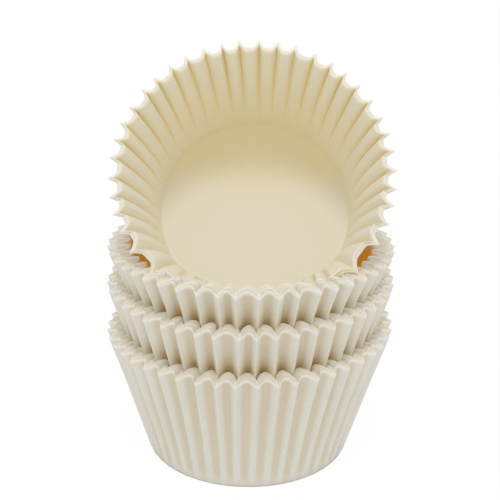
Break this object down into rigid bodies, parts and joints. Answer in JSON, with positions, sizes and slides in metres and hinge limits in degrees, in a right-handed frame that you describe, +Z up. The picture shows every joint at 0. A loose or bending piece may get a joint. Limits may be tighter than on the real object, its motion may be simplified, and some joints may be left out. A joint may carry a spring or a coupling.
{
  "type": "stack of cupcake liners",
  "caption": "Bunches of nested pleated paper cupcake liners standing in each other, with the top bunch tilted over in the mouth of the one below.",
  "frame": {"origin": "centre of the underside of the lowest liner, which the stack rests on", "axes": "+Z up the stack, -Y towards the side that the tilted liners open to"},
  "size_m": [0.0712, 0.071, 0.1036],
  "materials": {
    "liner_paper": "matt off-white greaseproof paper"
  },
  "bodies": {
    "root": {"bottom_liner_1": "liner_paper", "bottom_liner_2": "liner_paper", "bottom_liner_3": "liner_paper", "bottom_liner_4": "liner_paper", "bottom_liner_5": "liner_paper", "bottom_liner_6": "liner_paper", "bottom_liner_7": "liner_paper", "bottom_liner_8": "liner_paper", "middle_liner_1": "liner_paper", "middle_liner_2": "liner_paper", "middle_liner_3": "liner_paper", "middle_liner_4": "liner_paper", "middle_liner_5": "liner_paper", "middle_liner_6": "liner_paper", "middle_liner_7": "liner_paper", "middle_liner_8": "liner_paper", "upper_liner_1": "liner_paper", "upper_liner_2": "liner_paper", "upper_liner_3": "liner_paper", "upper_liner_4": "liner_paper", "upper_liner_5": "liner_paper", "upper_liner_6": "liner_paper", "upper_liner_7": "liner_paper", "upper_liner_8": "liner_paper", "top_liner_1": "liner_paper", "top_liner_2": "liner_paper", "top_liner_3": "liner_paper", "top_liner_4": "liner_paper"}
  },
  "joints": []
}
